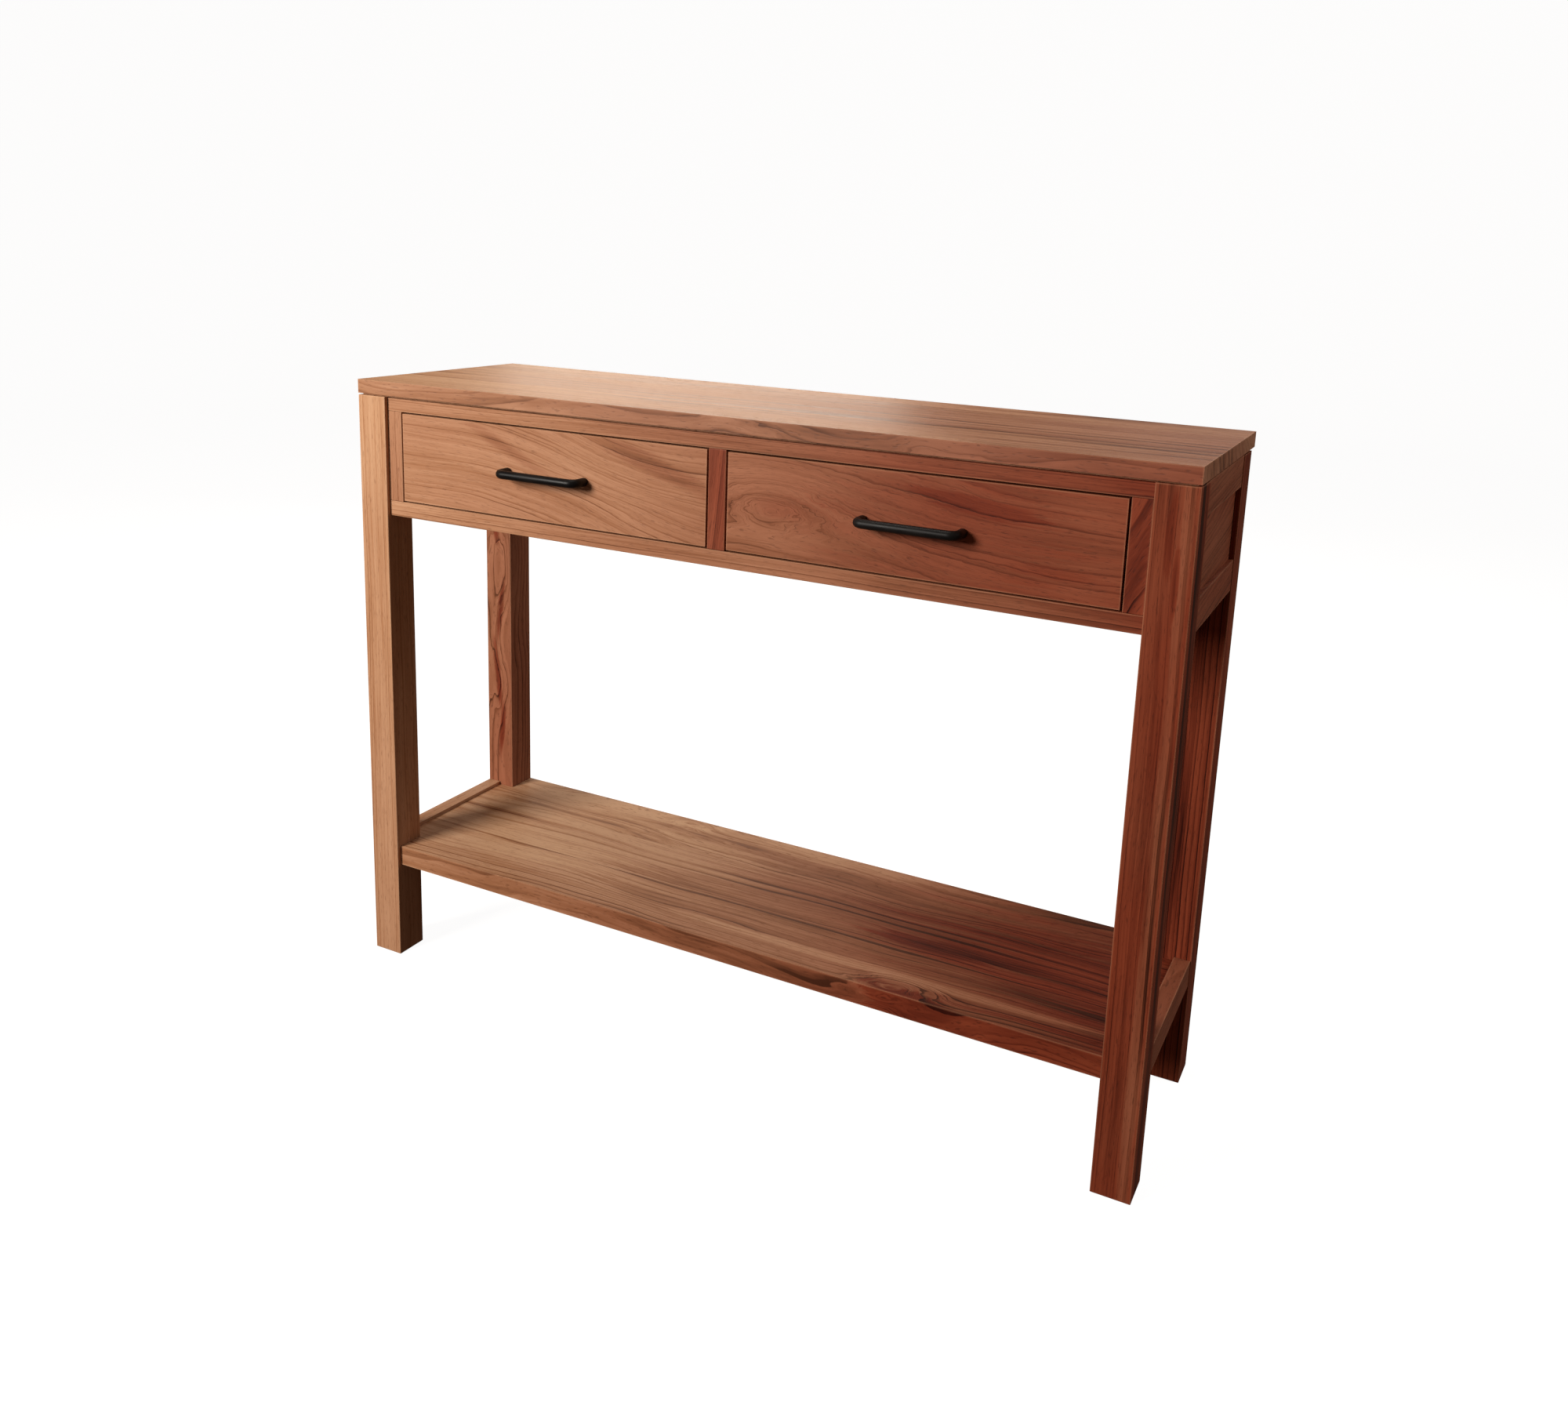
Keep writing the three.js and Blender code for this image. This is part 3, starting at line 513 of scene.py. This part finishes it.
def board_tone(g, place, figure, half, board):
    """How deep the wood's colour is: it changes along the board, partly as the wood's own colour
    and partly as painted light and shade, in clouds and between boards, with painted shade on the
    long edge faces.
    """
    low, high = figure.tone
    u, v, _ = g.split(place)
    half_length = half["xyz".index(figure.along)]
    half_width = half["xyz".index(across_axis(figure))]
    # Partly the board's own colour and partly painted light and shade: most boards are set paler
    # towards the lit left and deeper towards the right, where the key light falls off.
    tone = g.fit(u, -half_length, half_length, low, high)
    # Painted shade: the long edge faces, which catch less light than the shown face, are given a
    # deeper tone.
    if figure.painted_edge_shade:
        edge_shade_mask = g.fit(g.math("ABSOLUTE", v), half_width - EDGE_SHADE_START, half_width - EDGE_SHADE_FULL)
        tone = g.math("MULTIPLY_ADD", edge_shade_mask, figure.painted_edge_shade, tone)
    cloud = g.centred(g.layer(place, CLOUD, figure.seed))
    tone = g.math("MULTIPLY_ADD", cloud, CLOUD_TONE, tone)
    if figure.boards:
        tone = g.math("MULTIPLY_ADD", g.centred(board), BOARD_TONE, tone)
    return tone


def grain_depth(g, place, flow, figure, radius, streak, fibre, shade):
    """How dark the grain is: growth lines, streaks, the board's figures and fibres."""
    u, v, _ = g.split(place)
    patch = g.layer(place, PATCH, figure.seed)
    faded = g.math("SUBTRACT", patch, hills(g, u, v, figure.calm), clamp=True)
    line = g.math("MULTIPLY", growth_line(g, radius, figure.ring), faded)
    broad = g.layer(flow, BROAD, figure.seed)
    depth = g.math("MULTIPLY", line, LINE_GAIN * figure.line)
    depth = g.math("MULTIPLY_ADD", g.math("MULTIPLY", streak, broad), figure.streak, depth)
    depth = g.math("MULTIPLY_ADD", broad, BROAD_GAIN * figure.streak, depth)
    weight = g.math("MULTIPLY_ADD", streak, SHADE_STREAKED, SHADE_EVEN)
    depth = g.math("MULTIPLY_ADD", shade, weight, depth)
    return g.math("MULTIPLY_ADD", g.centred(fibre), FIBRE_GAIN, depth, clamp=True)


def ramp(g, share, colours):
    """The colour at share, from the first of three colours to the last."""
    first = g.mix(g.fit(share, 0.0, 0.5), colours[0], colours[1])
    return g.mix(g.fit(share, 0.5, 1.0), first, colours[2])


def teak_colour(g, tone, depth, marks, wear_and_highlight):
    """The colour of the wood, darker in pores and joint lines, and paler along the edges, where it
    is worn and where a highlight is painted.
    """
    light = g.mix(tone, PALE[0], DEEP[0])
    dark = g.mix(tone, PALE[2], DEEP[2])
    colour = g.mix(tone, ramp(g, depth, PALE), ramp(g, depth, DEEP))
    colour = g.mix(g.math("MULTIPLY", marks, MARK_SHARE), colour, dark)
    return g.mix(wear_and_highlight, colour, g.mix(WORN_AND_LIT_PALE, light, PALE[0]))


def flow_place(g, place, radius):
    """Places that follow the rings: the radius takes the place of the distance across."""
    u, v, w = g.split(place)
    third = g.math("MULTIPLY_ADD", v, FLOW_ACROSS, g.math("MULTIPLY", w, FLOW_IN))
    return g.combine(u, radius, third)


def finish_teak(g, inputs, figure, depth, fibre, pore, marks):
    """Roughness, bump and polish of the teak."""
    rough = g.math("MULTIPLY_ADD", depth, ROUGH_DEPTH, figure.rough)
    rough = g.math("MULTIPLY_ADD", fibre, ROUGH_FIBRE, rough)
    g.join(g.math("MULTIPLY_ADD", pore, ROUGH_PORE, rough), inputs["Roughness"])
    height = g.math("MULTIPLY_ADD", depth, BUMP_DEPTH, g.math("MULTIPLY", fibre, BUMP_FIBRE))
    height = g.math("MULTIPLY_ADD", marks, BUMP_MARK, height)
    g.join(g.bump(height, *TEAK_BUMP), inputs["Normal"])
    inputs["Specular IOR Level"].default_value = figure.shine


def teak(node, figure):
    """Oiled teak for one CAD node."""
    low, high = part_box(node)
    centre = (low + high) / 2
    half = (high - low) / 2
    material, inputs = new_material(node)
    g, where = new_graph(material)
    place = grain_place(g, where, centre, figure)
    board, joint = board_number(g, place, figure) if figure.boards else (0.0, 0.0)
    radius = growth_radius(g, place, figure, board)
    flow = flow_place(g, place, radius)
    streak = g.layer(flow, STREAK, figure.seed)
    fibre = g.layer(flow, FIBRE, figure.seed)
    pore = g.layer(flow, PORE, figure.seed)
    marks = g.math("MAXIMUM", pore, joint)
    shade = shade_sum(g, place, figure, streak)

    depth = grain_depth(g, place, flow, figure, radius, streak, fibre, shade)
    tone = board_tone(g, place, figure, half, board)
    tone = g.math("MULTIPLY_ADD", shade, SHADE_TONE, tone, clamp=True)
    # Painted highlight: the edges are made paler, partly polish rubbed off and partly the light
    # that the eased edges catch.
    worn_and_lit = g.fit(streak, 0.0, 1.0, *WEAR_AND_HIGHLIGHT_SHARE)
    wear_and_highlight = g.math("MULTIPLY", edge_wear_and_highlight(g, where, centre, half), worn_and_lit)
    g.join(teak_colour(g, tone, depth, marks, wear_and_highlight), inputs["Base Color"])
    finish_teak(g, inputs, figure, depth, fibre, pore, marks)
    return material


def plain_wood(name, light, dark, along):
    """Unfinished wood, used where it hardly shows: straight, with soft streaks."""
    material, inputs = new_material(name)
    g, where = new_graph(material)
    parts = dict(zip("xyz", g.split(where)))
    first, second = [letter for letter in "xyz" if letter != along]
    place = g.combine(parts[along], parts[first], parts[second])
    streak = g.layer(place, PLAIN_STREAK)
    fibre = g.layer(place, PLAIN_FIBRE)
    cloud = g.layer(place, PLAIN_CLOUD)
    dark_streak = g.math("MULTIPLY", streak, cloud)
    share = g.math("MULTIPLY_ADD", fibre, PLAIN_FIBRE_SHARE, dark_streak, clamp=True)
    g.join(g.mix(share, light, dark), inputs["Base Color"])
    rough = g.math("MULTIPLY_ADD", fibre, PLAIN_ROUGH_FIBRE, PLAIN_ROUGHNESS)
    g.join(rough, inputs["Roughness"])
    g.join(g.bump(fibre, *PLAIN_BUMP), inputs["Normal"])
    return material


def coated_metal():
    """Matt black powder coat: fine orange peel, a little rubbed and dusty."""
    material, inputs = new_material("black_metal")
    g, where = new_graph(material)
    smear = g.layer(where, SMEAR)
    g.join(g.mix(g.fit(smear, *DUST_SPAN), *COAT_COLOURS), inputs["Base Color"])
    g.join(g.fit(smear, *METAL_SPAN, *COAT_ROUGHNESS), inputs["Roughness"])
    g.join(g.bump(g.layer(where, PEEL), *COAT_BUMP), inputs["Normal"])
    inputs["Specular IOR Level"].default_value = COAT_SHINE
    return material


def zinc_steel():
    """Zinc-plated screw steel: dull silver, blotched and slightly gritty."""
    material, inputs = new_material("zinc_steel")
    g, where = new_graph(material)
    blotch = g.layer(where, BLOTCH)
    g.join(g.mix(blotch, *ZINC_COLOURS), inputs["Base Color"])
    g.join(g.fit(blotch, *METAL_SPAN, *ZINC_ROUGHNESS), inputs["Roughness"])
    g.join(g.bump(g.layer(where, GRIT), *ZINC_BUMP), inputs["Normal"])
    inputs["Metallic"].default_value = 1.0
    return material


def eased(node):
    """Sands the edges of a CAD node's board."""
    made = nodes[node]
    weld = made.modifiers.new("weld", "WELD")
    weld.merge_threshold = WELD_REACH
    flat = made.modifiers.new("flat", "DECIMATE")
    flat.decimate_type = "DISSOLVE"
    flat.angle_limit = FLAT_ANGLE
    bevel = made.modifiers.new("eased", "BEVEL")
    bevel.width = EASED_EDGE
    bevel.segments = EASED_STEPS
    bevel.limit_method = "ANGLE"
    bevel.angle_limit = SHARP_ANGLE
    bevel.use_clamp_overlap = True


def finish_with(node, material):
    """Gives a CAD node its material."""
    mesh = nodes[node].data
    mesh.materials.clear()
    mesh.materials.append(material)


def handle_path(foot_left, foot_right, out, bend):
    """Centre line of a bar handle: out of one foot, round a bend, along, and back to the other."""
    points = []
    for foot, inward in ((foot_left, 1), (foot_right, -1)):
        arm = [foot, foot + Vector((0, -FOOT_STRAIGHT, 0))]
        centre = Vector((foot.x + inward * bend, out + bend, foot.z))
        for i in range(BEND_STEPS + 1):
            angle = math.pi / 2 * i / BEND_STEPS
            offset = Vector((-inward * math.cos(angle), -math.sin(angle), 0))
            arm.append(centre + offset * bend)
        points += arm if inward > 0 else arm[::-1]
    return points


def join_rings(mesh, a, b):
    """Faces between two rings of vertices."""
    sides = len(a)
    for k in range(sides):
        mesh.faces.new((a[k], a[(k + 1) % sides], b[(k + 1) % sides], b[k]))


def tube_ring(mesh, points, i, radius):
    """A ring of vertices round one point of a path that lies in a horizontal plane."""
    ahead = points[min(i + 1, len(points) - 1)] - points[max(i - 1, 0)]
    side = ahead.normalized().cross(UP)
    ring = []
    for k in range(HANDLE_SIDES):
        angle = 2 * math.pi * k / HANDLE_SIDES
        offset = side * math.cos(angle) + UP * math.sin(angle)
        ring.append(mesh.verts.new(points[i] + offset * radius))
    return ring


def tube(name, points, radii):
    """A closed round tube along points that lie in one horizontal plane."""
    mesh = bmesh.new()
    rings = [tube_ring(mesh, points, i, radius) for i, radius in enumerate(radii)]
    for a, b in zip(rings, rings[1:]):
        join_rings(mesh, a, b)
    mesh.faces.new(rings[0][::-1])
    mesh.faces.new(rings[-1])
    bmesh.ops.recalc_face_normals(mesh, faces=mesh.faces)
    data = bpy.data.meshes.new(name)
    mesh.to_mesh(data)
    mesh.free()
    for face in data.polygons:
        face.use_smooth = len(face.vertices) == 4
    return new_object(name, data)


def make_handle(side, material):
    """The smooth black bar that stands for a drawer's faceted CAD handle."""
    node = f"drawer_{side}_handle"
    low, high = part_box(node)
    radius = (high.z - low.z) / 2
    middle = (low.z + high.z) / 2
    foot_left = Vector((low.x + radius, high.y, middle))
    foot_right = Vector((high.x - radius, high.y, middle))
    points = handle_path(foot_left, foot_right, low.y + radius, BEND_RATIO * radius)
    radii = [radius] * len(points)
    radii[0] = radii[-1] = radius - FOOT_CHAMFER
    made = tube(f"drawer_{side}_bar", points, radii)
    made.data.materials.append(material)
    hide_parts(node)
    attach(made, f"drawer_{side}")


def dress_table():
    """Materials and eased edges for the CAD nodes, and the new handles."""
    black = coated_metal()
    zinc = zinc_steel()
    for node, figure in FIGURES.items():
        finish_with(node, teak(node, figure))
        eased(node)
    drawer_wood = {axis: plain_wood(f"drawer_wood_{axis}", *DRAWER_WOOD, axis) for axis in "xy"}
    runner_wood = plain_wood("runner_wood", *RUNNER_WOOD, "y")
    for name in nodes:
        if "screw" in name:
            finish_with(name, zinc)
        elif name.endswith("_handle"):
            finish_with(name, black)
        elif name.startswith("drawer_") and name not in FIGURES:
            finish_with(name, drawer_wood["y" if "_side_" in name else "x"])
        elif name not in FIGURES:
            finish_with(name, runner_wood)
    for side in ("left", "right"):
        make_handle(side, black)


def room_profile():
    """Radius and height along the floor, up the curve and up the wall."""
    profile = []
    for i in range(ROOM_CURVE_STEPS + 1):
        angle = math.pi / 2 * i / ROOM_CURVE_STEPS
        radius = ROOM_RADIUS + ROOM_CURVE * math.sin(angle)
        profile.append((radius, ROOM_CURVE * (1 - math.cos(angle))))
    profile.append((ROOM_RADIUS + ROOM_CURVE, ROOM_HEIGHT))
    return profile


def room_mesh():
    """A round floor that curves up into a wall on every side."""
    mesh = bmesh.new()
    middle = mesh.verts.new((0, 0, 0))
    turns = [2 * math.pi * k / ROOM_SIDES for k in range(ROOM_SIDES)]
    rings = []
    for radius, height in room_profile():
        ring = [(radius * math.cos(t), radius * math.sin(t), height) for t in turns]
        rings.append([mesh.verts.new(place) for place in ring])
    for k in range(ROOM_SIDES):
        mesh.faces.new((middle, rings[0][k], rings[0][(k + 1) % ROOM_SIDES]))
    for a, b in zip(rings, rings[1:]):
        join_rings(mesh, b, a)
    data = bpy.data.meshes.new("room")
    mesh.to_mesh(data)
    mesh.free()
    for face in data.polygons:
        face.use_smooth = True
    return data


def make_room():
    """The plain pale room. It glows for the camera and lights nothing."""
    room = new_object("room", room_mesh())
    material, inputs = new_material("room")
    inputs["Base Color"].default_value = ROOM_COLOUR
    inputs["Roughness"].default_value = ROOM_ROUGHNESS
    inputs["Specular IOR Level"].default_value = 0.0
    inputs["Emission Color"].default_value = WHITE
    inputs["Emission Strength"].default_value = ROOM_GLOW
    room.data.materials.append(material)
    room.visible_diffuse = False
    room.visible_glossy = False


def make_light(name, place, target, size, power, colour):
    """A soft box that looks at target and doesn't show."""
    lamp = bpy.data.lights.new(name, "AREA")
    lamp.shape = "RECTANGLE"
    lamp.size, lamp.size_y = size
    lamp.energy = power
    lamp.color = colour
    made = new_object(name, lamp)
    made.location = place
    aim = Vector(target) - Vector(place)
    made.rotation_mode = "QUATERNION"
    made.rotation_quaternion = aim.to_track_quat("-Z", "Y")
    made.visible_camera = False


def light_studio():
    """The soft boxes, with the key light at the front left, and a low warm fill from all sides."""
    world = bpy.data.worlds.new("world")
    world.use_nodes = True
    background = world.node_tree.nodes["Background"]
    background.inputs["Color"].default_value = FILL_COLOUR
    background.inputs["Strength"].default_value = FILL
    scene = bpy.context.scene
    scene.world = world
    for name, settings in LAMPS.items():
        make_light(name, *settings)
    scene.view_settings.view_transform = "Standard"


def make_camera():
    """The camera at the photograph's viewing angle."""
    lens = bpy.data.cameras.new("camera")
    lens.sensor_width = SENSOR
    lens.lens = LENS
    lens.shift_x, lens.shift_y = CAMERA_SHIFT
    turn = Matrix.Rotation(CAMERA_YAW, 4, "Z") @ Matrix.Rotation(CAMERA_PITCH, 4, "X")
    turn = turn @ Matrix.Rotation(CAMERA_ROLL, 4, "Y") @ Matrix.Rotation(math.pi / 2, 4, "X")
    camera = new_object("camera", lens)
    camera.matrix_world = Matrix.Translation(CAMERA_PLACE) @ turn
    bpy.context.scene.camera = camera


make_camera()
make_room()
light_studio()
dress_table()
